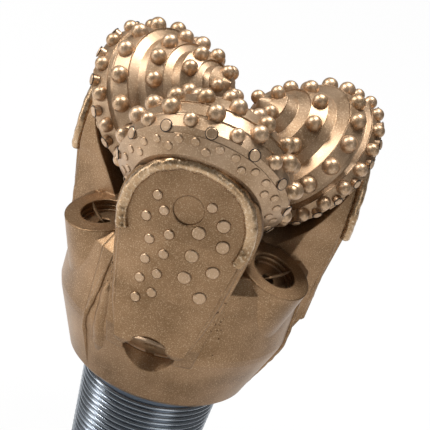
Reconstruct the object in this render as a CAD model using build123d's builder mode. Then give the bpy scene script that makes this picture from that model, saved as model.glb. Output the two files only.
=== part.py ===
from build123d import *
from collections import namedtuple
from math import asin, cos, radians, sin
import os

os.makedirs("parts", exist_ok=True)

# A three-cone rock bit of the 12-1/4 inch size class.  Each of the three legs is one
# forging: a third of the body and of the tapered pin, a nozzle boss, an arm with a
# raised wear pad and the journal that its cone turns on.  The origin is the centre of
# the pin's end face and +Z runs up the bit's axis to the cones.

# ---------------------------------------------------------------- threaded pin
pin_length = 127.0
pin_base_radius = 76.1
pin_relief_length = 12.7
pin_taper_on_radius = 1 / 12
thread_height = 3.75
pin_end_chamfer = 3.0
water_bore_radius = 41.3
water_bore_depth = 215.0

# ---------------------------------------------------------------- body
leg_count = 3
seam_angle = 37.5
shoulder_radius = 93.0
shoulder_bevel = 4.0
shank_foot_radius = 98.5
shank_foot_height = 8.0
shank_top_radius = 121.0
shank_top_height = 66.0
body_radius = 123.0
body_height = 150.0
crown_radius = 112.0
crown_edge_height = 163.0
crown_height = 171.0

# ---------------------------------------------------------------- journal and cone frame
journal_angle = 36.3
axes_height = 325.2
heel_wall_radius = 153.5
backface_radius = 64.0
backface_gap = 0.8

# ---------------------------------------------------------------- arm and wear pad
shirttail_radius = 141.5
arm_waist_radius = 133.0
arm_waist_height = 138.0
arm_full_height = 205.0
arm_foot_height = 89.0
arm_foot_taper = 62.0
arm_half_width = 70.0
arm_foot_half_width = 44.0
arm_crown_radius = 70.0
pad_lift = 6.5
pad_crown_radius = 63.0
pad_crown_centre_height = 218.0
pad_foot_half_width = 35.0
pad_waist_half_width = 49.0
pad_foot_height = 77.0
pad_foot_corner = 9.0
pad_edge_round = 2.5

# ---------------------------------------------------------------- bearing
seal_boss_radius = 42.0
gland_radius = 50.0
gland_depth = 9.0
journal_radius = 38.0
journal_bearing_end = 43.0
bushing_wall = 4.0
bushing_start = 11.0
running_fit = 0.05
seat_fit = 0.02
race_radius = 37.0
race_step = 0.4
ball_radius = 8.7
ball_fit = 0.05
ball_count = 12
thrust_face = 61.0
thrust_washer_thickness = 2.8
thrust_gap = 0.1
pilot_radius = 21.0
pilot_bushing_wall = 3.5
pilot_end = 85.0
pilot_end_gap = 1.0
seal_gap = 0.4

# ---------------------------------------------------------------- ball plug
ball_hole_radius = 10.5
ball_hole_height = 237.5
ball_plug_head_radius = 15.0
ball_plug_head_depth = 8.0
ball_plug_dish = 1.2

# ---------------------------------------------------------------- nozzle boss
boss_angle = 60.0
boss_offset = 104.6
boss_mouth_height = 164.7
boss_tilt = 18.8
boss_radius = 39.1
boss_length = 96.0
nozzle_bore_radius = 23.1
nozzle_recess = 13.0
nozzle_length = 30.0
nozzle_throat_radius = 6.5
nozzle_inlet_radius = 15.0
nozzle_passage_radius = 16.0
passage_meeting_height = 45.0
mouth_lip = 4.0
mouth_groove_depth = 1.2
retainer_thickness = 2.4
retainer_groove_depth = 2.2
retainer_ring_width = 4.0
o_ring_section = 3.6
o_ring_fit = 0.3

# ---------------------------------------------------------------- grease reservoir
reservoir_radius = 27.0
reservoir_mouth_offset = 127.0
reservoir_mouth_height = 66.0
reservoir_slope = 50.0
reservoir_recess = 12.0
reservoir_depth = 62.0
reservoir_reach = 60.0
cap_thickness = 7.0
cap_hex_radius = 8.0
cap_hex_depth = 3.0
snap_ring_section = 2.4
canister_wall = 1.8
diaphragm_wall = 2.5
diaphragm_reach = 28.0
lube_hole_radius = 3.0

# ---------------------------------------------------------------- inserts
insert_grip = 11.0
insert_stand = 2.0
trim_grip = 7.0
trim_stand = 0.6
trim_chamfer = 0.8
trim_setback = 16.0
heel_button_radius = 4.2
heel_button_grip = 6.0
heel_button_stand = 1.1
heel_button_chamfer = 0.7
heel_inner_setback = 4.4
heel_outer_setback = 8.6
heel_group_count = 12
heel_pair_spread = 6.2
heel_step_setback = 11.8
heel_step = 0.8
small_button_radius = 4.75
large_button_radius = 6.35
button_stand = 1.4
button_grip = 8.0
button_chamfer = 0.8
groove_depth = 6.0
groove_wall = 2.0
nose_round = 8.0

# One row of domed inserts on a cone.  setback is measured from the cone's back face
# towards its nose, radius from the cone's axis, both to the centre of the dome; tilt
# leans the insert towards the nose; land is half the width of the band it stands on.
InsertRow = namedtuple("InsertRow", "setback radius tilt count phase diameter land")
ConeDesign = namedtuple("ConeDesign", "rows nose trim_radius")

cone_designs = [
    ConeDesign(
        rows=[
            InsertRow(24.0, 86.6, 3, 12, -75, 14.0, 5.5),
            InsertRow(38.5, 85.0, 12, 12, -92, 17.5, 5.5),
            InsertRow(59.4, 75.5, 28, 15, -80, 17.0, 8.5),
            InsertRow(87.4, 43.0, 45, 8, 0, 16.0, 8.5),
            InsertRow(109.4, 13.5, 68, 3, 30, 14.0, 7.5),
        ],
        nose=116.0,
        trim_radius=5.5,
    ),
    ConeDesign(
        rows=[
            InsertRow(23.5, 83.6, 2, 21, -107, 14.0, 7.5),
            InsertRow(46.4, 74.5, 20, 16, -104, 17.5, 9.0),
            InsertRow(76.4, 48.0, 42, 10, -112, 16.5, 9.0),
            InsertRow(105.4, 18.0, 64, 4, 0, 15.0, 8.0),
        ],
        nose=115.0,
        trim_radius=4.5,
    ),
    ConeDesign(
        rows=[
            InsertRow(25.4, 82.6, 2, 16, -57, 15.0, 8.0),
            InsertRow(47.5, 77.4, 16, 16, -69, 17.5, 8.5),
            InsertRow(76.7, 57.7, 38, 14, -71, 17.0, 9.0),
            InsertRow(103.4, 36.0, 50, 9, 0, 16.0, 8.5),
            InsertRow(121.4, 13.5, 68, 3, 0, 14.0, 7.0),
        ],
        nose=129.0,
        trim_radius=5.5,
    ),
]

# Flat wear buttons on the arm's pad: distance right of the pad's centre line and
# height over the body's shoulder.
small_buttons = [
    (-32, 241), (-37, 217), (-22, 229), (20, 247), (-28, 196), (-11, 208),
    (-27, 174), (-11, 186), (-27, 152), (-12, 163), (-26, 130), (-12, 141),
]
large_buttons = [(15, 219), (35, 232), (40, 211), (15, 194), (14, 169), (38, 182), (33, 151)]

# ---------------------------------------------------------------- derived places
shoulder = pin_length
leg_pitch = 360 / leg_count
journal_cos = cos(radians(journal_angle))
journal_sin = sin(radians(journal_angle))
backface_distance = (heel_wall_radius - backface_radius * journal_sin) / journal_cos
heel_slope = journal_cos / journal_sin

# The cone's frame: its origin is the centre of the back face and its Z runs up the
# journal to the nose.
cone_frame = Plane(
    origin=(0, -backface_distance * journal_cos, shoulder + axes_height - backface_distance * journal_sin),
    x_dir=(1, 0, 0),
    z_dir=(0, journal_cos, journal_sin),
)
leg_face = cone_frame.offset(-backface_gap)

boss_plane = Plane(
    origin=(
        boss_offset * sin(radians(boss_angle)),
        -boss_offset * cos(radians(boss_angle)),
        shoulder + boss_mouth_height,
    ),
    x_dir=(cos(radians(boss_angle)), sin(radians(boss_angle)), 0),
    z_dir=(
        sin(radians(boss_tilt)) * sin(radians(boss_angle)),
        -sin(radians(boss_tilt)) * cos(radians(boss_angle)),
        cos(radians(boss_tilt)),
    ),
)
reservoir_plane = Plane(
    origin=(0, -reservoir_mouth_offset, shoulder + reservoir_mouth_height),
    x_dir=(1, 0, 0),
    z_dir=(0, -cos(radians(reservoir_slope)), -sin(radians(reservoir_slope))),
)
pad_radius = shirttail_radius + pad_lift
pilot_bore_radius = pilot_radius + running_fit + pilot_bushing_wall
bearing_bore_radius = journal_radius + running_fit + bushing_wall
race_centre = (journal_bearing_end + thrust_face) / 2
cone_thrust_face = thrust_face + thrust_gap + thrust_washer_thickness


def heel_radius_at(setback):
    """Radius of the heel cone, which runs parallel to the hole's wall."""
    return backface_radius + heel_slope * setback


def leg_rotation(number):
    return Location((0, 0, 0), (0, 0, leg_pitch * number))


def cone_place(number):
    return leg_rotation(number) * cone_frame.location


def write_piece(name, blank, place):
    """Set a copy of a finished blank at its place on the bit and write it."""
    with BuildPart() as piece:
        add(blank.part.moved(place), clean=False)
    piece.part.label = name
    export_step(piece.part, f"parts/{name}.step")


# ---------------------------------------------------------------- derived passages
def pad_radius_at(height):
    """Radius of the pad's face over the body's shoulder."""
    rise = (height - arm_waist_height) / (arm_full_height - arm_waist_height)
    return arm_waist_radius + pad_lift + (shirttail_radius - arm_waist_radius) * min(max(rise, 0), 1)


race_low_point = cone_frame.from_local_coords(Vector(0, race_radius, race_centre))
plug_face = Vector(0, -pad_radius_at(ball_hole_height), shoulder + ball_hole_height)
ball_hole_plane = Plane(origin=plug_face, x_dir=(1, 0, 0), z_dir=plug_face - race_low_point)
ball_hole_length = (plug_face - race_low_point).length - ball_radius / 3
nozzle_bore_depth = nozzle_recess + nozzle_length
nozzle_seat = boss_plane.origin - boss_plane.z_dir * nozzle_bore_depth
passage_meeting = Vector(0, 0, shoulder + passage_meeting_height)
passage_length = (passage_meeting - nozzle_seat).length
passage_plane = Plane(origin=nozzle_seat, z_dir=passage_meeting - nozzle_seat)
o_ring_depth = nozzle_recess + nozzle_length / 3
retainer_depth = nozzle_recess - retainer_thickness
nozzle_grooves = [
    (mouth_lip, retainer_thickness, mouth_groove_depth),
    (retainer_depth, retainer_thickness, retainer_groove_depth),
    (o_ring_depth, o_ring_section, o_ring_section - o_ring_fit),
]
journal_root = backface_distance / 20


# ---------------------------------------------------------------- profiles
def body_corners():
    """Half section of the pin and body, as (radius, height) from the pin's end."""
    root_end = pin_base_radius - thread_height - pin_taper_on_radius * pin_length
    relief_start = pin_length - pin_relief_length
    root_top = pin_base_radius - thread_height - pin_taper_on_radius * pin_relief_length
    return [
        (0, 0),
        (root_end - pin_end_chamfer, 0),
        (root_end, pin_end_chamfer),
        (root_top, relief_start),
        (pin_base_radius, relief_start + thread_height),
        (pin_base_radius, shoulder),
        (shoulder_radius, shoulder),
        (shoulder_radius + shoulder_bevel, shoulder + shoulder_bevel),
        (shank_foot_radius, shoulder + shank_foot_height),
        (shank_top_radius, shoulder + shank_top_height),
        (body_radius, shoulder + shank_top_height + shank_foot_height),
        (body_radius, shoulder + body_height),
        (crown_radius, shoulder + crown_edge_height),
        (0, shoulder + crown_height),
    ]


def arm_corners(lift):
    """Half section that bounds the arm (lift 0) or its wear pad, as (radius, height)."""
    top = shoulder + pad_crown_centre_height + 2 * arm_crown_radius
    return [
        (0, shoulder + shank_foot_height),
        (shank_foot_radius, shoulder + shank_foot_height),
        (arm_waist_radius + lift, shoulder + arm_foot_height - lift),
        (arm_waist_radius + lift, shoulder + arm_waist_height),
        (shirttail_radius + lift, shoulder + arm_full_height),
        (shirttail_radius + lift, top),
        (0, top),
    ]


def cavity_corners():
    """Half section of a cone's bearing cavity, as (radius, setback)."""
    return [
        (0, 0),
        (gland_radius, 0),
        (gland_radius, gland_depth),
        (bearing_bore_radius, gland_depth),
        (bearing_bore_radius, journal_bearing_end),
        (race_radius + race_step, journal_bearing_end),
        (race_radius + race_step, cone_thrust_face),
        (pilot_bore_radius, cone_thrust_face),
        (pilot_bore_radius, pilot_end + pilot_end_gap),
        (0, pilot_end + pilot_end_gap),
    ]


def land_points(row):
    """Middle, outer end and nose end of the band that a row stands on."""
    lean = radians(row.tilt)
    middle = (row.radius - insert_stand * cos(lean), row.setback - insert_stand * sin(lean))
    along = (-sin(lean), cos(lean))
    outer_end = (middle[0] - row.land * along[0], middle[1] - row.land * along[1])
    nose_end = (middle[0] + row.land * along[0], middle[1] + row.land * along[1])
    return middle, outer_end, nose_end


def cone_corners(design):
    """Half section of a cone's outside, as (radius, setback)."""
    corners = [(0, 0), (backface_radius, 0)]
    step_radius = heel_radius_at(heel_step_setback)
    corners.append((step_radius, heel_step_setback))
    corners.append((step_radius - heel_step * journal_sin, heel_step_setback + heel_step * journal_cos))
    first_middle = land_points(design.rows[0])[0]
    lean = radians(design.rows[0].tilt)
    heel_line = backface_radius - heel_step / journal_sin
    reach = (first_middle[0] - heel_line - heel_slope * first_middle[1]) / (sin(lean) + heel_slope * cos(lean))
    corners.append((first_middle[0] - reach * sin(lean), first_middle[1] + reach * cos(lean)))
    previous = None
    for row in design.rows:
        middle, outer_end, nose_end = land_points(row)
        lean = radians(row.tilt)
        if previous is not None:
            # Between two bands the cone is turned down to a groove, where the inserts of
            # the neighbouring cones pass.
            last_end, last_lean = previous
            gap = Vector(*last_end).sub(Vector(*outer_end)).length
            depth = min(groove_depth, gap / 3)
            wall = min(groove_wall, gap / 6)
            drop = (last_end[0] - wall * cos(last_lean), last_end[1] - wall * sin(last_lean))
            rise = (outer_end[0] - wall * cos(lean), outer_end[1] - wall * sin(lean))
            half_lean = (lean + last_lean) / 2
            valley = (
                (drop[0] + rise[0]) / 2 - (depth - wall) * cos(half_lean),
                (drop[1] + rise[1]) / 2 - (depth - wall) * sin(half_lean),
            )
            corners += [drop, valley, rise, outer_end]
        corners.append(nose_end)
        previous = (nose_end, lean)
    corners.append((0, design.nose))
    return corners


def row_places(row):
    """Places of a row's inserts on the cone's surface, each Z pointing out of the cone."""
    middle, _, _ = land_points(row)
    return ring_places(middle, row.tilt, row.count, row.phase)


def ring_places(point, tilt, count, phase):
    lean = radians(tilt)
    places = []
    for index in range(count):
        turn = radians(phase + index * 360 / count)
        outward = (cos(lean) * cos(turn), cos(lean) * sin(turn), sin(lean))
        origin = (point[0] * cos(turn), point[0] * sin(turn), point[1])
        places.append(Location(Plane(origin=origin, x_dir=(-sin(turn), cos(turn), 0), z_dir=outward)))
    return places


def trim_places(design):
    """Trim inserts sit flush across the corner between the heel and the gauge band."""
    point = (heel_radius_at(trim_setback) - trim_stand, trim_setback)
    gauge = design.rows[0]
    return ring_places(point, journal_angle / 2 - 45, gauge.count, gauge.phase + 180 / gauge.count)


def heel_places(design):
    """Small buttons on the heel: one inside and a pair outside, between the trim inserts."""
    tilt = journal_angle - 90
    inner = (heel_radius_at(heel_inner_setback), heel_inner_setback)
    outer = (heel_radius_at(heel_outer_setback), heel_outer_setback)
    phase = design.rows[0].phase
    places = ring_places(inner, tilt, heel_group_count, phase + 180 / heel_group_count)
    for side in (-1, 1):
        places += ring_places(outer, tilt, heel_group_count, phase + side * heel_pair_spread)
    return places


def button_place(x, height):
    """A place on the pad's face, Z pointing out of the bit."""
    face = pad_radius_at(height)
    turn = asin(x / face)
    return Location(Plane(
        origin=(x, -face * cos(turn), shoulder + height),
        x_dir=(cos(turn), sin(turn), 0),
        z_dir=(sin(turn), -cos(turn), 0),
    ))


def socket(radius, grip):
    """The hole that an insert is pressed into, open above the surface it is drilled in."""
    with BuildPart() as hole:
        with BuildSketch(Plane.XY.offset(-grip)):
            Circle(radius)
        extrude(amount=grip + insert_stand)
    return hole.part


def flat_insert(radius, grip, stand, bevel):
    """A flat-topped button standing on its place by `stand`, its shank below."""
    with BuildPart() as button:
        with BuildSketch(Plane.XY.offset(-grip)):
            Circle(radius)
        extrude(amount=grip + stand)
        chamfer(button.faces().sort_by(Axis.Z)[-1].edges(), bevel)
    return button.part


def domed_insert(radius):
    """A cylinder in its socket with a hemispherical dome."""
    with BuildPart() as insert:
        with BuildSketch(Plane.XZ):
            with BuildLine():
                Line((0, -insert_grip), (radius, -insert_grip))
                Line((radius, -insert_grip), (radius, insert_stand))
                CenterArc((0, insert_stand), radius, 0, 90)
                Line((0, insert_stand + radius), (0, -insert_grip))
            make_face()
        revolve(axis=Axis.Z)
    return insert.part


# ---------------------------------------------------------------- leg
with BuildPart() as arm:
    with BuildSketch(Plane.XZ):
        crown_z = shoulder + pad_crown_centre_height
        with Locations((0, crown_z)):
            Circle(arm_crown_radius)
        Polygon([
            (-arm_crown_radius, crown_z),
            (-arm_foot_half_width, shoulder + arm_foot_taper),
            (arm_foot_half_width, shoulder + arm_foot_taper),
            (arm_crown_radius, crown_z),
        ])
    extrude(amount=2 * shirttail_radius)
    with BuildSketch(Plane.XZ):
        Polygon(arm_corners(0))
    revolve(axis=Axis.Z, mode=Mode.INTERSECT)
    split(bisect_by=leg_face, keep=Keep.BOTTOM)

with BuildPart() as pad:
    with BuildSketch(Plane.XZ) as pad_front:
        with Locations((0, crown_z)):
            Circle(pad_crown_radius)
        Polygon([
            (-pad_crown_radius, crown_z),
            (-pad_waist_half_width, shoulder + arm_waist_height),
            (-pad_foot_half_width, shoulder + pad_foot_height),
            (pad_foot_half_width, shoulder + pad_foot_height),
            (pad_waist_half_width, shoulder + arm_waist_height),
            (pad_crown_radius, crown_z),
        ])
        fillet(pad_front.vertices().group_by(Axis.Y)[0], pad_foot_corner)
    extrude(amount=2 * shirttail_radius)
    with BuildSketch(Plane.XZ):
        Polygon(arm_corners(pad_lift))
    revolve(axis=Axis.Z, mode=Mode.INTERSECT)
    split(bisect_by=leg_face, keep=Keep.BOTTOM)

with BuildPart() as boss:
    with BuildSketch(boss_plane):
        Circle(boss_radius)
    extrude(amount=-boss_length)

with BuildPart() as race_torus:
    with BuildSketch(Plane.XZ):
        with Locations((race_radius, race_centre)):
            Circle(ball_radius + ball_fit)
    revolve(axis=Axis.Z)

with BuildPart() as journal:
    with BuildSketch(Plane.XZ):
        Polygon([
            (0, -journal_root),
            (seal_boss_radius, -journal_root),
            (seal_boss_radius, gland_depth),
            (journal_radius, gland_depth),
            (journal_radius, journal_bearing_end),
            (race_radius - race_step, journal_bearing_end),
            (race_radius - race_step, thrust_face),
            (pilot_radius, thrust_face),
            (pilot_radius, pilot_end),
            (0, pilot_end),
        ])
    revolve(axis=Axis.Z)

# Everything round the journal: what passes through the leg is trimmed to its surface.
with BuildPart() as bearing_space:
    with BuildSketch(Plane.XZ):
        Polygon([
            (seal_boss_radius, -backface_gap),
            (seal_boss_radius, gland_depth),
            (journal_radius, gland_depth),
            (journal_radius, journal_bearing_end),
            (race_radius - race_step, journal_bearing_end),
            (race_radius - race_step, thrust_face),
            (2 * journal_radius, thrust_face),
            (2 * journal_radius, -backface_gap),
        ])
    revolve(axis=Axis.Z)

with BuildPart() as leg_blank:
    with BuildSketch(Plane.XZ):
        Polygon(body_corners())
    revolve(axis=Axis.Z)
    add(arm.part)
    add(pad.part)
    add(boss.part)
    # The other two thirds of the body are cut away along the weld seams.
    with BuildSketch(Plane.XY):
        seam_reach = 3 * body_radius
        first_seam = radians(-90 - seam_angle)
        last_seam = radians(-90 - seam_angle + leg_pitch)
        Polygon([
            (0, 0),
            (seam_reach * cos(first_seam), seam_reach * sin(first_seam)),
            (0, -seam_reach),
            (seam_reach * cos(last_seam), seam_reach * sin(last_seam)),
        ])
    extrude(amount=4 * pin_length, mode=Mode.INTERSECT)
    add(journal.part.moved(cone_frame.location))
    # Water bore, with the passage that feeds this leg's nozzle.
    with BuildSketch(Plane.XY):
        Circle(water_bore_radius)
    extrude(amount=water_bore_depth, mode=Mode.SUBTRACT)
    with BuildSketch(passage_plane):
        Circle(nozzle_passage_radius)
    extrude(amount=passage_length, mode=Mode.SUBTRACT)
    # Nozzle seat, with the grooves for its retainer and its O-ring.
    with BuildSketch(boss_plane):
        Circle(nozzle_bore_radius)
    extrude(amount=-nozzle_bore_depth, mode=Mode.SUBTRACT)
    for depth, width, groove in nozzle_grooves:
        with BuildSketch(boss_plane.offset(-depth)):
            Circle(nozzle_bore_radius + groove)
        extrude(amount=-width, mode=Mode.SUBTRACT)
    # Grease reservoir.
    with BuildSketch(reservoir_plane.offset(-reservoir_depth)):
        Circle(reservoir_radius)
    extrude(amount=reservoir_depth + reservoir_reach, mode=Mode.SUBTRACT)
    with BuildSketch(reservoir_plane.offset(-reservoir_recess)):
        Circle(reservoir_radius + snap_ring_section / 2)
    extrude(amount=snap_ring_section + seal_gap, mode=Mode.SUBTRACT)
    # Ball hole, from the pad through the journal to the race, with the plug's seat.
    with BuildSketch(ball_hole_plane):
        Circle(ball_hole_radius)
    extrude(amount=-ball_hole_length, mode=Mode.SUBTRACT)
    with BuildSketch(ball_hole_plane.offset(ball_plug_head_depth)):
        Circle(ball_plug_head_radius)
    extrude(amount=-2 * ball_plug_head_depth, mode=Mode.SUBTRACT)
    add(race_torus.part.moved(cone_frame.location), mode=Mode.SUBTRACT)
    # Sockets of the wear buttons.
    for radius, places in ((small_button_radius, small_buttons), (large_button_radius, large_buttons)):
        with Locations(*[button_place(x, height) for x, height in places]):
            add(socket(radius, button_grip), mode=Mode.SUBTRACT)

for number in range(leg_count):
    write_piece(f"leg_{number + 1}", leg_blank, leg_rotation(number))

# ---------------------------------------------------------------- ball plug and wear buttons
with BuildPart() as ball_plug_blank:
    with BuildSketch(ball_hole_plane.offset(-ball_plug_head_depth)):
        Circle(ball_hole_radius - seat_fit)
    extrude(amount=ball_plug_head_depth - ball_hole_length)
    with BuildSketch(ball_hole_plane.offset(-ball_plug_dish)):
        Circle(ball_plug_head_radius - seat_fit)
    extrude(amount=ball_plug_dish - ball_plug_head_depth)
    # The rod's end is hollowed to the race, so the balls run past it.
    add(bearing_space.part.moved(cone_frame.location), mode=Mode.SUBTRACT)
    add(race_torus.part.moved(cone_frame.location), mode=Mode.SUBTRACT)

with BuildPart() as buttons_blank:
    for radius, places in ((small_button_radius, small_buttons), (large_button_radius, large_buttons)):
        with Locations(*[button_place(x, height) for x, height in places]):
            add(flat_insert(radius - seat_fit, button_grip, button_stand, button_chamfer))

for number in range(leg_count):
    write_piece(f"ball_plug_{number + 1}", ball_plug_blank, leg_rotation(number))
    write_piece(f"wear_buttons_{number + 1}", buttons_blank, leg_rotation(number))

# ---------------------------------------------------------------- bearing pieces
with BuildPart() as bushing_blank:
    with BuildSketch(Plane.XY.offset(bushing_start)):
        Circle(bearing_bore_radius - seat_fit)
        Circle(journal_radius + running_fit, mode=Mode.SUBTRACT)
    extrude(amount=journal_bearing_end - bushing_start)

with BuildPart() as pilot_bushing_blank:
    with BuildSketch(Plane.XY.offset(cone_thrust_face)):
        Circle(pilot_bore_radius - seat_fit)
        Circle(pilot_radius + running_fit, mode=Mode.SUBTRACT)
    extrude(amount=pilot_end - cone_thrust_face)

with BuildPart() as thrust_washer_blank:
    with BuildSketch(Plane.XY.offset(thrust_face + thrust_gap)):
        Circle(race_radius - race_step)
        Circle(pilot_radius + running_fit, mode=Mode.SUBTRACT)
    extrude(amount=thrust_washer_thickness)

with BuildPart() as seal_blank:
    with BuildSketch(Plane.XY.offset(seal_gap)):
        Circle(gland_radius - seat_fit)
        Circle(seal_boss_radius + running_fit, mode=Mode.SUBTRACT)
    extrude(amount=gland_depth - 2 * seal_gap)
    fillet(seal_blank.edges(), (gland_radius - seal_boss_radius) / 3)

with BuildPart() as balls_blank:
    with PolarLocations(race_radius, ball_count):
        Sphere(ball_radius)

ball_place = Plane.XY.offset(race_centre).location

# ---------------------------------------------------------------- cones
for number, design in enumerate(cone_designs):
    with BuildPart() as sockets:
        for row in design.rows:
            with Locations(*row_places(row)):
                add(socket(row.diameter / 2, insert_grip))
        with Locations(*trim_places(design)):
            add(socket(design.trim_radius, trim_grip))
        with Locations(*heel_places(design)):
            add(socket(heel_button_radius, heel_button_grip))

    with BuildPart() as cone_blank:
        with BuildSketch(Plane.XZ):
            Polygon(cone_corners(design))
        revolve(axis=Axis.Z)
        with BuildSketch(Plane.XZ):
            Polygon(cavity_corners())
        revolve(axis=Axis.Z, mode=Mode.SUBTRACT)
        add(race_torus.part, mode=Mode.SUBTRACT)
        add(sockets.part, mode=Mode.SUBTRACT, clean=False)

    with BuildPart() as gauge_blank:
        with Locations(*row_places(design.rows[0])):
            add(domed_insert(design.rows[0].diameter / 2 - seat_fit))

    with BuildPart() as inner_blank:
        for row in design.rows[1:]:
            with Locations(*row_places(row)):
                add(domed_insert(row.diameter / 2 - seat_fit))

    with BuildPart() as trim_blank:
        with Locations(*trim_places(design)):
            add(flat_insert(design.trim_radius - seat_fit, trim_grip, trim_stand, trim_chamfer))

    with BuildPart() as heel_blank:
        with Locations(*heel_places(design)):
            add(flat_insert(heel_button_radius - seat_fit, heel_button_grip, heel_button_stand, heel_button_chamfer))

    place = cone_place(number)
    write_piece(f"cone_{number + 1}", cone_blank, place)
    write_piece(f"gauge_inserts_{number + 1}", gauge_blank, place)
    write_piece(f"inner_inserts_{number + 1}", inner_blank, place)
    write_piece(f"trim_inserts_{number + 1}", trim_blank, place)
    write_piece(f"heel_buttons_{number + 1}", heel_blank, place)
    write_piece(f"journal_bushing_{number + 1}", bushing_blank, place)
    write_piece(f"nose_bushing_{number + 1}", pilot_bushing_blank, place)
    write_piece(f"thrust_washer_{number + 1}", thrust_washer_blank, place)
    write_piece(f"seal_ring_{number + 1}", seal_blank, place)
    write_piece(f"retention_balls_{number + 1}", balls_blank, place * ball_place)

# ---------------------------------------------------------------- nozzles
with BuildPart() as nozzle_blank:
    with BuildSketch(Plane.XY.offset(-nozzle_recess)):
        Circle(nozzle_bore_radius - seat_fit)
    extrude(amount=-nozzle_length)
    with BuildSketch(Plane.XZ):
        Polygon([
            (0, -nozzle_recess),
            (nozzle_throat_radius, -nozzle_recess),
            (nozzle_throat_radius, -nozzle_recess - nozzle_length / 3),
            (nozzle_inlet_radius, -nozzle_recess - nozzle_length),
            (0, -nozzle_recess - nozzle_length),
        ])
    revolve(axis=Axis.Z, mode=Mode.SUBTRACT)

with BuildPart() as nozzle_ring_blank:
    with BuildSketch(Plane.XY.offset(-o_ring_depth - o_ring_section + o_ring_fit / 2)):
        Circle(nozzle_bore_radius + o_ring_section - 2 * o_ring_fit)
        Circle(nozzle_bore_radius, mode=Mode.SUBTRACT)
    extrude(amount=o_ring_section - o_ring_fit)

with BuildPart() as retainer_blank:
    with BuildSketch(Plane.XY.offset(-retainer_depth - retainer_thickness + seat_fit)):
        Circle(nozzle_bore_radius + retainer_groove_depth - seat_fit)
        Circle(nozzle_bore_radius + retainer_groove_depth - retainer_ring_width, mode=Mode.SUBTRACT)
        with Locations((0, nozzle_bore_radius)):
            Rectangle(2 * retainer_ring_width, 4 * retainer_ring_width, mode=Mode.SUBTRACT)
    extrude(amount=retainer_thickness - 2 * seat_fit)

for number in range(leg_count):
    place = leg_rotation(number) * boss_plane.location
    write_piece(f"nozzle_{number + 1}", nozzle_blank, place)
    write_piece(f"nozzle_o_ring_{number + 1}", nozzle_ring_blank, place)
    write_piece(f"nozzle_retainer_{number + 1}", retainer_blank, place)

# ---------------------------------------------------------------- grease reservoir
cap_back = -reservoir_recess - cap_thickness
with BuildPart() as cap_blank:
    with BuildSketch(Plane.XY.offset(cap_back)):
        Circle(reservoir_radius - seat_fit)
    extrude(amount=cap_thickness)
    with BuildSketch(Plane.XY.offset(-reservoir_recess)):
        RegularPolygon(cap_hex_radius, 6)
    extrude(amount=-cap_hex_depth, mode=Mode.SUBTRACT)

with BuildPart() as snap_ring_blank:
    with BuildSketch(Plane.XY.offset(-reservoir_recess + seat_fit)):
        Circle(reservoir_radius + snap_ring_section / 2 - seat_fit)
        Circle(reservoir_radius - snap_ring_section, mode=Mode.SUBTRACT)
        with Locations((0, -reservoir_radius)):
            Rectangle(4 * snap_ring_section, 4 * snap_ring_section, mode=Mode.SUBTRACT)
    extrude(amount=snap_ring_section)

with BuildPart() as canister_blank:
    with BuildSketch(Plane.XY.offset(-reservoir_depth + seat_fit)):
        Circle(reservoir_radius - seat_fit)
    extrude(amount=reservoir_depth + cap_back - 2 * seat_fit)
    with BuildSketch(Plane.XY.offset(cap_back)):
        Circle(reservoir_radius - canister_wall)
    extrude(amount=canister_wall - reservoir_depth - cap_back, mode=Mode.SUBTRACT)
    with BuildSketch(Plane.XY.offset(-reservoir_depth)):
        Circle(lube_hole_radius)
    extrude(amount=2 * canister_wall, mode=Mode.SUBTRACT)

with BuildPart() as diaphragm_blank:
    with BuildSketch(Plane.XY.offset(cap_back - seat_fit)):
        Circle(reservoir_radius - canister_wall - seat_fit)
    extrude(amount=-diaphragm_reach)
    with BuildSketch(Plane.XY.offset(cap_back)):
        Circle(reservoir_radius - canister_wall - diaphragm_wall)
    extrude(amount=diaphragm_wall - diaphragm_reach, mode=Mode.SUBTRACT)

for number in range(leg_count):
    place = leg_rotation(number) * reservoir_plane.location
    write_piece(f"reservoir_cap_{number + 1}", cap_blank, place)
    write_piece(f"reservoir_snap_ring_{number + 1}", snap_ring_blank, place)
    write_piece(f"reservoir_canister_{number + 1}", canister_blank, place)
    write_piece(f"reservoir_diaphragm_{number + 1}", diaphragm_blank, place)
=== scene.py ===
"""A three-cone rock bit standing on its pin: paint, bare steel, hardfacing and light."""
import math

import bmesh
import bpy
from mathutils import Matrix, Vector, noise


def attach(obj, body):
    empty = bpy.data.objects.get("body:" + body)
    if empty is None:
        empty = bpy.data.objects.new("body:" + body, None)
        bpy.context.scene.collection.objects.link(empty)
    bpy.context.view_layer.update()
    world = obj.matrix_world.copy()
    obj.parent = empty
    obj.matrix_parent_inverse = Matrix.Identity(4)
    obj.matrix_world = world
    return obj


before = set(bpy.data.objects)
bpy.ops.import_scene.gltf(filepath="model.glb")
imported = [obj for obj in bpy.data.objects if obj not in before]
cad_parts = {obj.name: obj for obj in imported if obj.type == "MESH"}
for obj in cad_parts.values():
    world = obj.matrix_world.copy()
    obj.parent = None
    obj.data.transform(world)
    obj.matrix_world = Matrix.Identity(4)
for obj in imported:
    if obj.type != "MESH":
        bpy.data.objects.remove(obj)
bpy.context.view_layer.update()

MM = 0.001
LEGS = 3
LEG_PITCH = math.tau / LEGS
PIN_LENGTH = 0.127

# Pin thread: four to the inch on a taper of two inches per foot.
THREAD_PITCH = 6.35 * MM
THREAD_HEIGHT = 3.75 * MM
THREAD_FLANK = math.radians(30)
THREAD_SUNK = 0.15 * MM
CREST_AT_SHOULDER = 76.1 * MM
TAPER_ON_RADIUS = 1 / 12
THREAD_START = 4.0 * MM
THREAD_END = 114.0 * MM
THREAD_STEPS = 72

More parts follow.
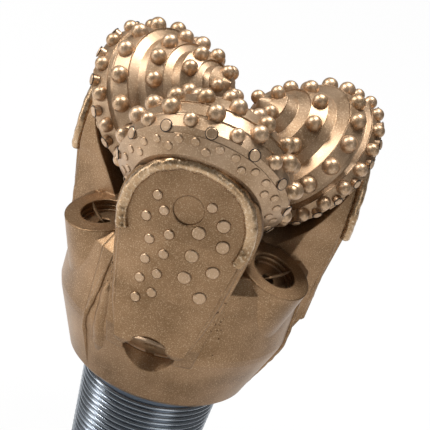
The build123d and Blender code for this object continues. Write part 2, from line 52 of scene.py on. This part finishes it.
# Hardfacing bead round the top of each wear pad.
BEAD_RADIUS = 6.4 * MM
BEAD_SUNK = 0.8 * MM
BEAD_FLATTENED = 0.9
BEAD_STEPS = 150
PAD_CROWN_RADIUS = 63.5 * MM
PAD_CROWN_HEIGHT = PIN_LENGTH + 0.218
PAD_FACE_RADIUS = 148.0 * MM
BEAD_SWEEP = math.radians(112)

# Welds: rings along a bead, sides of its section, and smoothing passes over its path.
WELD_STEPS = 90
WELD_SIDES = 10
WELD_SMOOTHING = 3
WELD_TIP = 0.1
WELD_TAPER = 3.5

# Spatter beside the seams, and the ring of painted shade in the gap round a trim insert.
SPATTER_COUNT = 70
SPATTER_HEIGHT = 128
SPATTER_SPREAD = 75
RING_RADIUS = 0.55 * MM
RING_GAP = 0.25 * MM
RING_SUNK = 1.1 * MM
RING_REACH = 12 * MM
RING_STEPS = 20
MERGED = 0.01 * MM

# Studio: how white the floor is to the camera, and the room's own light.
FLOOR_GLOW = 0.975
ROOM_LIGHT = 0.16


# ---------------------------------------------------------------- helpers
def linear(colour):
    """An sRGB hex colour as linear values."""
    channels = [int(colour[i:i + 2], 16) / 255 for i in (1, 3, 5)]
    return [c / 12.92 if c <= 0.04045 else ((c + 0.055) / 1.055) ** 2.4 for c in channels] + [1.0]


def node(tree, kind, settings=(), links=()):
    """Adds a node; settings are attributes or socket values, links are sockets to join."""
    made = tree.nodes.new(kind)
    for place, value in dict(settings).items():
        if isinstance(place, int) or place in made.inputs:
            made.inputs[place].default_value = value
        else:
            setattr(made, place, value)
    for place, source in dict(links).items():
        tree.links.new(source, made.inputs[place])
    return made


def new_material(name):
    material = bpy.data.materials.new(name)
    material.use_nodes = True
    material.node_tree.nodes.clear()
    return material, material.node_tree


# ---------------------------------------------------------------- materials
def bronze_paint(name, base, dark, light, roughness, grain_mm, grain_depth, edge_mm, bare_pin=False):
    """Sprayed metallic bronze paint over steel: fine metallic grain and softened edges."""
    material, tree = new_material(name)
    metallic = 0.85
    place = node(tree, "ShaderNodeTexCoord").outputs["Object"]
    soft_edge = node(tree, "ShaderNodeBevel", {"samples": 6, "Radius": edge_mm * MM})
    grain = node(tree, "ShaderNodeTexNoise", {"Scale": 1 / (grain_mm * MM), "Detail": 3.0},
                 {"Vector": place}).outputs["Fac"]
    cloud = node(tree, "ShaderNodeTexNoise", {"Scale": 1 / (45 * MM), "Detail": 4.0},
                 {"Vector": place}).outputs["Fac"]
    # Slow changes of shade, as the spray passes overlap.
    passes = node(tree, "ShaderNodeMapRange", {1: 0.35, 2: 0.65, 3: 0.0, 4: 1.0}, {0: cloud})
    shade = node(tree, "ShaderNodeMix", {"data_type": "RGBA", 6: linear(dark), 7: linear(base)},
                 {0: passes.outputs[0]})
    # Metal flakes that catch the light, drawn coarser than real ones so that they show.
    flakes = node(tree, "ShaderNodeMapRange", {1: 0.52, 2: 0.72, 3: 0.0, 4: 0.55}, {0: grain})
    colour = node(tree, "ShaderNodeMix", {"data_type": "RGBA", 7: linear(light)},
                  {0: flakes.outputs[0], 6: shade.outputs[2]}).outputs[2]
    rough = node(tree, "ShaderNodeMapRange", {1: 0.3, 2: 0.7, 3: roughness - 0.06, 4: roughness + 0.1},
                 {0: grain})
    bump = node(tree, "ShaderNodeBump", {"Strength": grain_depth, "Distance": 0.35 * MM},
                {"Height": grain, "Normal": soft_edge.outputs[0]})
    surface = node(tree, "ShaderNodeBsdfPrincipled", {"Metallic": metallic},
                   {"Normal": bump.outputs[0], "Roughness": rough.outputs[0]})
    if bare_pin:
        # Below the shoulder the pin is machined steel, left bare and oiled.
        height = node(tree, "ShaderNodeSeparateXYZ", (), {0: place}).outputs[2]
        painted = node(tree, "ShaderNodeMapRange",
                       {1: PIN_LENGTH - 0.4 * MM, 2: PIN_LENGTH + 0.2 * MM, 3: 0.0, 4: 1.0},
                       {0: height}).outputs[0]
        colour = node(tree, "ShaderNodeMix", {"data_type": "RGBA", 6: linear("#5E6670")},
                      {0: painted, 7: colour}).outputs[2]
        metal = node(tree, "ShaderNodeMapRange", {1: 0.0, 2: 1.0, 3: 1.0, 4: metallic}, {0: painted})
        tree.links.new(metal.outputs[0], surface.inputs["Metallic"])
    tree.links.new(colour, surface.inputs["Base Color"])
    node(tree, "ShaderNodeOutputMaterial", (), {"Surface": surface.outputs[0]})
    return material


def turned_steel(name, base, roughness):
    """Turned and oiled steel: fine tool lines round the axis, 2600 to the metre."""
    material, tree = new_material(name)
    place = node(tree, "ShaderNodeTexCoord").outputs["Object"]
    stretch = node(tree, "ShaderNodeMapping", {"Scale": (12.0, 12.0, 2600.0)}, {"Vector": place})
    lines = node(tree, "ShaderNodeTexNoise", {"Scale": 1.0, "Detail": 2.0},
                 {"Vector": stretch.outputs[0]}).outputs["Fac"]
    share = node(tree, "ShaderNodeMapRange", {1: 0.3, 2: 0.7, 3: 0.0, 4: 1.0}, {0: lines})
    colour = node(tree, "ShaderNodeMix", {"data_type": "RGBA", 6: linear(base), 7: linear("#9AA2AC")},
                  {0: share.outputs[0]})
    rough = node(tree, "ShaderNodeMapRange", {1: 0.3, 2: 0.7, 3: roughness - 0.05, 4: roughness + 0.08},
                 {0: lines})
    surface = node(tree, "ShaderNodeBsdfPrincipled", {"Metallic": 1.0},
                   {"Base Color": colour.outputs[2], "Roughness": rough.outputs[0]})
    node(tree, "ShaderNodeOutputMaterial", (), {"Surface": surface.outputs[0]})
    return material


def plain_finish(name, base, metallic, roughness):
    """A small or hidden piece's finish, with slight mottling from handling."""
    material, tree = new_material(name)
    place = node(tree, "ShaderNodeTexCoord").outputs["Object"]
    cloud = node(tree, "ShaderNodeTexNoise", {"Scale": 1 / (8 * MM), "Detail": 3.0}, {"Vector": place})
    grime = node(tree, "ShaderNodeMapRange", {1: 0.3, 2: 0.7, 3: 0.0, 4: 0.4}, {0: cloud.outputs["Fac"]})
    colour = node(tree, "ShaderNodeMix", {"data_type": "RGBA", 6: linear(base), 7: linear("#000000")},
                  {0: grime.outputs[0]})
    surface = node(tree, "ShaderNodeBsdfPrincipled", {"Metallic": metallic, "Roughness": roughness},
                   {"Base Color": colour.outputs[2]})
    node(tree, "ShaderNodeOutputMaterial", (), {"Surface": surface.outputs[0]})
    return material


# Rough forged legs: the coarsest grain and the roundest edges.
cast_paint = bronze_paint("bronze_paint_on_forging", "#947556", "#775B3E", "#D8BE9C",
                          0.40, 1.1, 0.60, 2.6, True)
# Turned cones: smoother, with crisp groove edges.
cone_paint = bronze_paint("bronze_paint_on_turned_cone", "#B2967A", "#93775A", "#E0C8AA",
                          0.41, 1.4, 0.14, 0.8)
# Ground carbide under paint: the smoothest, with a round highlight on each dome.
insert_paint = bronze_paint("bronze_paint_on_carbide", "#C0A284", "#A68868", "#EAD4BA",
                            0.41, 1.5, 0.10, 0.5)
# Weld of hard metal: bright ripples, with the paint drawn lighter than on the legs as a painted
# highlight.
bead_paint_and_highlight = bronze_paint("bronze_paint_and_painted_highlight_on_hardfacing", "#BFA17F", "#8F7252", "#F4DFC2",
                          0.28, 2.4, 0.60, 0.6)
# Near-black ring: painted shade in the crevice round each trim insert.
painted_shade_ring = plain_finish("painted_shade_round_trim_insert", "#2A2018", 0.3, 0.5)
thread_steel = turned_steel("turned_thread_steel", "#8C9196", 0.24)
ring_steel = turned_steel("spring_steel", "#6E747C", 0.32)
bearing_bronze = plain_finish("bearing_bronze", "#B08A4C", 1.0, 0.35)
ball_steel = plain_finish("polished_ball_steel", "#C4C6CA", 1.0, 0.15)
seal_rubber = plain_finish("nitrile_rubber", "#161616", 0.0, 0.6)

NODE_FINISH = {
    "leg": cast_paint, "ball_plug": cast_paint, "wear_buttons": insert_paint, "nozzle": cast_paint,
    "nozzle_o_ring": seal_rubber, "nozzle_retainer": cone_paint, "reservoir_cap": cast_paint,
    "reservoir_snap_ring": cone_paint, "reservoir_canister": ring_steel,
    "reservoir_diaphragm": seal_rubber, "cone": cone_paint, "gauge_inserts": insert_paint,
    "inner_inserts": insert_paint, "trim_inserts": insert_paint, "heel_buttons": insert_paint,
    "journal_bushing": bearing_bronze, "nose_bushing": bearing_bronze, "thrust_washer": bearing_bronze,
    "seal_ring": seal_rubber, "retention_balls": ball_steel,
}
for name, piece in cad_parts.items():
    slot = piece.material_slots[0]
    slot.link = "OBJECT"
    slot.material = NODE_FINISH[name.rsplit("_", 1)[0]]


# ---------------------------------------------------------------- new pieces
def edges_of(vertices):
    """The edges that join some vertices, each once and in a settled order."""
    return list(dict.fromkeys(edge for vertex in vertices for edge in vertex.link_edges))


def finish_piece(name, bm, material, body):
    """Turns a bmesh into a piece that rides on a body."""
    bmesh.ops.remove_doubles(bm, verts=bm.verts, dist=MERGED)
    bmesh.ops.recalc_face_normals(bm, faces=bm.faces)
    mesh = bpy.data.meshes.new(name)
    bm.to_mesh(mesh)
    bm.free()
    for face in mesh.polygons:
        face.use_smooth = True
    mesh.materials.append(material)
    piece = bpy.data.objects.new(name, mesh)
    bpy.context.scene.collection.objects.link(piece)
    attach(piece, body)


def thread_root(height):
    """Radius of the pin's root cone at a height."""
    return CREST_AT_SHOULDER - THREAD_HEIGHT - (PIN_LENGTH - height) * TAPER_ON_RADIUS


def pin_thread():
    """The pin's thread: one turned ridge wound up the pin, then drawn in to the taper."""
    bm = bmesh.new()
    start = thread_root(THREAD_START)
    flank = THREAD_HEIGHT * math.tan(THREAD_FLANK)
    land = (THREAD_PITCH - 2 * flank) / 2
    profile = [(-THREAD_SUNK, 0), (0, land / 2), (THREAD_HEIGHT, land / 2 + flank),
               (THREAD_HEIGHT, 3 * land / 2 + flank), (0, 3 * land / 2 + 2 * flank)]
    corners = [bm.verts.new((start + out, 0, THREAD_START + up)) for out, up in profile]
    edges = [bm.edges.new(pair) for pair in zip(corners, corners[1:])]
    turns = (THREAD_END - THREAD_START - THREAD_PITCH) / THREAD_PITCH
    steps = int(turns * THREAD_STEPS)
    bmesh.ops.spin(bm, geom=corners + edges, cent=(0, 0, 0), axis=(0, 0, 1),
                   dvec=(0, 0, THREAD_PITCH / THREAD_STEPS),
                   angle=math.tau * steps / THREAD_STEPS, steps=steps)
    for vertex in bm.verts:
        lean = (vertex.co.z - THREAD_START) * TAPER_ON_RADIUS
        flat = Vector((vertex.co.x, vertex.co.y, 0))
        vertex.co += flat.normalized() * lean
    finish_piece("pin_thread", bm, thread_steel, "bit_body")


def hardfacing(number):
    """The weld bead of hard metal laid round the crown of a leg's wear pad."""
    bm = bmesh.new()
    ring = bmesh.ops.create_circle(bm, segments=14, radius=BEAD_RADIUS)["verts"]
    edges = edges_of(ring)
    bmesh.ops.rotate(bm, verts=ring, cent=(0, 0, 0), matrix=Matrix.Rotation(math.pi / 2, 3, "Y"))
    bmesh.ops.translate(bm, verts=ring, vec=(0, 0, PAD_CROWN_RADIUS))
    bmesh.ops.rotate(bm, verts=ring, cent=(0, 0, 0), matrix=Matrix.Rotation(-BEAD_SWEEP, 3, "Y"))
    bmesh.ops.spin(bm, geom=ring + edges, cent=(0, 0, 0), axis=(0, 1, 0),
                   angle=2 * BEAD_SWEEP, steps=BEAD_STEPS)
    bmesh.ops.holes_fill(bm, edges=bm.edges)
    turn = Matrix.Rotation(LEG_PITCH * number, 3, "Z")
    for vertex in bm.verts:
        # Ripples of the weld pool, then the bead is wrapped onto the leg's round face.
        centre_way = Vector((vertex.co.x, 0, vertex.co.z)).normalized() * PAD_CROWN_RADIUS
        ripple = noise.noise(vertex.co * 90 + Vector((7, number * 3, 0))) * 1.1 * MM
        ripple += noise.noise(vertex.co * 260) * 0.5 * MM
        vertex.co += (vertex.co - centre_way).normalized() * ripple
        around = vertex.co.x / PAD_FACE_RADIUS
        out = PAD_FACE_RADIUS - BEAD_SUNK - vertex.co.y * BEAD_FLATTENED
        wrapped = Vector((out * math.sin(around), -out * math.cos(around),
                          PAD_CROWN_HEIGHT + vertex.co.z))
        vertex.co = turn @ wrapped
    finish_piece(f"hardfacing_{number + 1}", bm, bead_paint_and_highlight, "bit_body")


def outer_surface(number, around, height):
    """The bit's outside at an angle from the middle of a leg, found on the CAD pieces."""
    turn = LEG_PITCH * number + around - math.pi / 2
    outward = Vector((math.cos(turn), math.sin(turn), 0))
    start = outward * 0.2 + Vector((0, 0, height))
    best = None
    for leg_number in range(1, LEGS + 1):
        hit, place, _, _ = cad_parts[f"leg_{leg_number}"].ray_cast(start, -outward)
        if hit and (best is None or (place - start).length < (best - start).length):
            best = place
    return best or outward * 0.1 + Vector((0, 0, height))


def weld_bead(name, number, path, radius, roughness, seed, sunk):
    """A rope of weld metal that follows the surface through angle and height points."""
    bm = bmesh.new()
    rings = []
    steps = WELD_STEPS
    centres = []
    for step in range(steps + 1):
        along = step / steps * (len(path) - 1)
        low = min(int(along), len(path) - 2)
        share = along - low
        around = path[low][0] * (1 - share) + path[low + 1][0] * share
        height = path[low][1] * (1 - share) + path[low + 1][1] * share
        place = outer_surface(number, math.radians(around), PIN_LENGTH + height * MM)
        centres.append(place - Vector((place.x, place.y, 0)).normalized() * sunk)
    for _ in range(WELD_SMOOTHING):
        middles = [(a + b + c) / 3 for a, b, c in zip(centres, centres[1:], centres[2:])]
        centres = [centres[0]] + middles + [centres[-1]]
    for step, centre in enumerate(centres):
        ahead = (centres[min(step + 1, steps)] - centres[max(step - 1, 0)]).normalized()
        ring = bmesh.ops.create_circle(bm, segments=WELD_SIDES, radius=radius)["verts"]
        turn = ahead.to_track_quat("Z", "Y").to_matrix()
        bmesh.ops.transform(bm, verts=ring, matrix=Matrix.Translation(centre) @ turn.to_4x4())
        for vertex in ring:
            away = vertex.co - centre
            ripple = noise.noise(vertex.co * 120 + Vector((seed, 0, 0))) * roughness
            # The bead tapers into the surface at both of its ends.
            taper = min(1.0, WELD_TIP + WELD_TAPER * step / steps,
                        WELD_TIP + WELD_TAPER * (steps - step) / steps)
            vertex.co = centre + away * (1 + ripple) * taper
        rings.append(edges_of(ring))
    for first, second in zip(rings, rings[1:]):
        bmesh.ops.bridge_loops(bm, edges=first + second)
    bmesh.ops.holes_fill(bm, edges=bm.edges)
    finish_piece(name, bm, cast_paint, "bit_body")


def spatter(number):
    """Small balls of weld spatter beside the seams."""
    bm = bmesh.new()
    for index in range(SPATTER_COUNT):
        spread = noise.noise(Vector((index * 1.7, number * 5.1, 0.3)))
        lift = noise.noise(Vector((index * 2.3, number * 4.7, 9.1)))
        around = math.radians(-26 + 9 * spread if index % 2 else 27 + 10 * spread)
        height = PIN_LENGTH + (SPATTER_HEIGHT + SPATTER_SPREAD * lift) * MM
        place = outer_surface(number, around, height)
        size = (0.5 + 1.0 * abs(noise.noise(Vector((index * 3.1, 2, 7))))) * MM
        bead = bmesh.ops.create_icosphere(bm, subdivisions=1, radius=size)["verts"]
        bmesh.ops.translate(bm, verts=bead, vec=place)
    finish_piece(f"weld_spatter_{number + 1}", bm, cast_paint, "bit_body")


def islands(bm):
    """The loose parts of a mesh, each in the order of its vertices."""
    bm.verts.index_update()
    seen = set()
    for first in bm.verts:
        if first.index in seen:
            continue
        seen.add(first.index)
        stack = [first]
        found = []
        while stack:
            vertex = stack.pop()
            found.append(vertex)
            for edge in vertex.link_edges:
                other = edge.other_vert(vertex)
                if other.index not in seen:
                    seen.add(other.index)
                    stack.append(other)
        yield sorted(found, key=lambda vertex: vertex.index)


def trim_rings(number):
    """A dark ring round every trim insert: painted shade in the crevice where the insert sits in its
    socket.
    """
    source = bmesh.new()
    source.from_mesh(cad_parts[f"trim_inserts_{number}"].data)
    bmesh.ops.remove_doubles(source, verts=source.verts, dist=MERGED)
    axis_point = sum((v.co for v in source.verts), Vector()) / len(source.verts)
    bm = bmesh.new()
    for part in islands(source):
        middle = sum((v.co for v in part), Vector()) / len(part)
        faces = dict.fromkeys(face for v in part for face in v.link_faces)
        outer = [face for face in faces if face.normal.dot(middle - axis_point) > 0]
        normal = max(outer, key=lambda face: face.calc_area()).normal.normalized()
        reach = max((v.co - middle).dot(normal) for v in part)
        radius = max(((v.co - middle) - normal * (v.co - middle).dot(normal)).length for v in part)
        ring = bmesh.ops.create_circle(bm, segments=8, radius=RING_RADIUS)["verts"]
        bmesh.ops.rotate(bm, verts=ring, cent=(0, 0, 0), matrix=Matrix.Rotation(math.pi / 2, 3, "X"))
        bmesh.ops.translate(bm, verts=ring, vec=(radius + RING_GAP, 0, 0))
        bmesh.ops.spin(bm, geom=ring + edges_of(ring), cent=(0, 0, 0), axis=(0, 0, 1),
                       angle=math.tau, steps=RING_STEPS, use_merge=True)
        turned = [v for v in bm.verts if v.co.length < RING_REACH and not v.tag]
        turn = normal.to_track_quat("Z", "Y").to_matrix().to_4x4()
        place = Matrix.Translation(middle + normal * (reach - RING_SUNK)) @ turn
        bmesh.ops.transform(bm, verts=turned, matrix=place)
        for vertex in turned:
            vertex.tag = True
    source.free()
    finish_piece(f"trim_painted_shade_{number}", bm, painted_shade_ring, f"rolling_cone_{number}")


# Each weld or rib: its path as degrees from the leg's middle and mm over the shoulder, its
# radius in mm, the share its ripples add, where its noise starts, and how deep it lies in mm.
WELDS = {
    "seam": ([(-37.5, 12), (-37.5, 60), (-33, 110), (-30, 150)], 3.0, 0.35, 0, 0.0),
    "pad_side_left": ([(-16, 86), (-21.3, 138), (-26, 205)], 4.2, 0.18, 3, 0.0),
    "pad_side_right": ([(16, 86), (21.3, 138), (26, 205)], 4.2, 0.18, 6, 0.0),
    "forged_rib": ([(-28, 138), (-28, 105), (-27, 60), (-30, 22)], 10, 0.06, 9, 7.0),
}

pin_thread()
for leg in range(LEGS):
    hardfacing(leg)
    for weld, (path, radius, roughness, seed, sunk) in WELDS.items():
        weld_bead(f"{weld}_{leg + 1}", leg, path, radius * MM, roughness, leg + seed, sunk * MM)
    spatter(leg)
    trim_rings(leg + 1)


# ---------------------------------------------------------------- floor, light and camera
def studio_floor():
    """A plain white floor that keeps only a trace of the bit's shadow."""
    bm = bmesh.new()
    bmesh.ops.create_grid(bm, x_segments=1, y_segments=1, size=12.0)
    mesh = bpy.data.meshes.new("studio_floor")
    bm.to_mesh(mesh)
    bm.free()
    floor = bpy.data.objects.new("studio_floor", mesh)
    bpy.context.scene.collection.objects.link(floor)
    material, tree = new_material("white_floor")
    matte = node(tree, "ShaderNodeBsdfDiffuse", {"Color": (0.85, 0.85, 0.85, 1)})
    glow = node(tree, "ShaderNodeEmission", {"Color": (1, 1, 1, 1), "Strength": 1.0})
    path = node(tree, "ShaderNodeLightPath")
    share = node(tree, "ShaderNodeMath", {"operation": "MULTIPLY", 1: FLOOR_GLOW},
                 {0: path.outputs["Is Camera Ray"]})
    both = node(tree, "ShaderNodeMixShader", (),
                {0: share.outputs[0], 1: matte.outputs[0], 2: glow.outputs[0]})
    node(tree, "ShaderNodeOutputMaterial", (), {"Surface": both.outputs[0]})
    mesh.materials.append(material)


def soft_box(name, where, target, size, power):
    """A large soft lamp that looks at the bit."""
    lamp = bpy.data.lights.new(name, "AREA")
    lamp.shape = "RECTANGLE"
    lamp.size = size[0]
    lamp.size_y = size[1]
    lamp.energy = power
    holder = bpy.data.objects.new(name, lamp)
    holder.location = where
    holder.rotation_euler = (Vector(target) - Vector(where)).to_track_quat("-Z", "Y").to_euler()
    bpy.context.scene.collection.objects.link(holder)


def studio_world():
    """White to the camera, and a dim even room to everything else."""
    world = bpy.data.worlds.new("studio")
    bpy.context.scene.world = world
    world.use_nodes = True
    tree = world.node_tree
    tree.nodes.clear()
    path = node(tree, "ShaderNodeLightPath")
    room = node(tree, "ShaderNodeBackground", {"Color": (1, 1, 1, 1), "Strength": ROOM_LIGHT})
    white = node(tree, "ShaderNodeBackground", {"Color": (1, 1, 1, 1), "Strength": 1.0})
    both = node(tree, "ShaderNodeMixShader", (),
                {0: path.outputs["Is Camera Ray"], 1: room.outputs[0], 2: white.outputs[0]})
    node(tree, "ShaderNodeOutputWorld", (), {"Surface": both.outputs[0]})


def camera():
    """Looks down a little at the cones, rolled so that the bit leans to the right."""
    azimuth, elevation, roll = math.radians(4.67), math.radians(22.63), math.radians(17.19)
    distance, target = 1.513, Vector((0, 0, PIN_LENGTH + 0.2016))
    back = Vector((math.sin(azimuth) * math.cos(elevation), -math.cos(azimuth) * math.cos(elevation),
                   math.sin(elevation)))
    level = (-back).cross(Vector((0, 0, 1))).normalized()
    upright = level.cross(-back)
    right = math.cos(roll) * level + math.sin(roll) * upright
    up = -math.sin(roll) * level + math.cos(roll) * upright
    data = bpy.data.cameras.new("camera")
    data.sensor_width = 36
    data.lens = 124.3
    data.shift_x = 0.0144
    data.shift_y = -0.0581
    holder = bpy.data.objects.new("camera", data)
    turn = Matrix((right, up, back)).transposed().to_4x4()
    holder.matrix_world = Matrix.Translation(target + back * distance) @ turn
    bpy.context.scene.collection.objects.link(holder)
    bpy.context.scene.camera = holder


studio_floor()
soft_box("key", (-1.6, -0.25, 1.9), (0, 0, 0.35), (0.6, 0.6), 40)
soft_box("side", (-2.0, -0.5, 0.5), (0, 0, 0.2), (0.4, 1.2), 9)
soft_box("fill", (1.6, -1.8, 0.8), (0, 0, 0.3), (1.2, 1.2), 8)
soft_box("top", (0.2, 0.4, 2.2), (0, 0, 0.35), (0.6, 0.6), 44)
studio_world()
camera()
bpy.context.scene.view_settings.view_transform = "Standard"
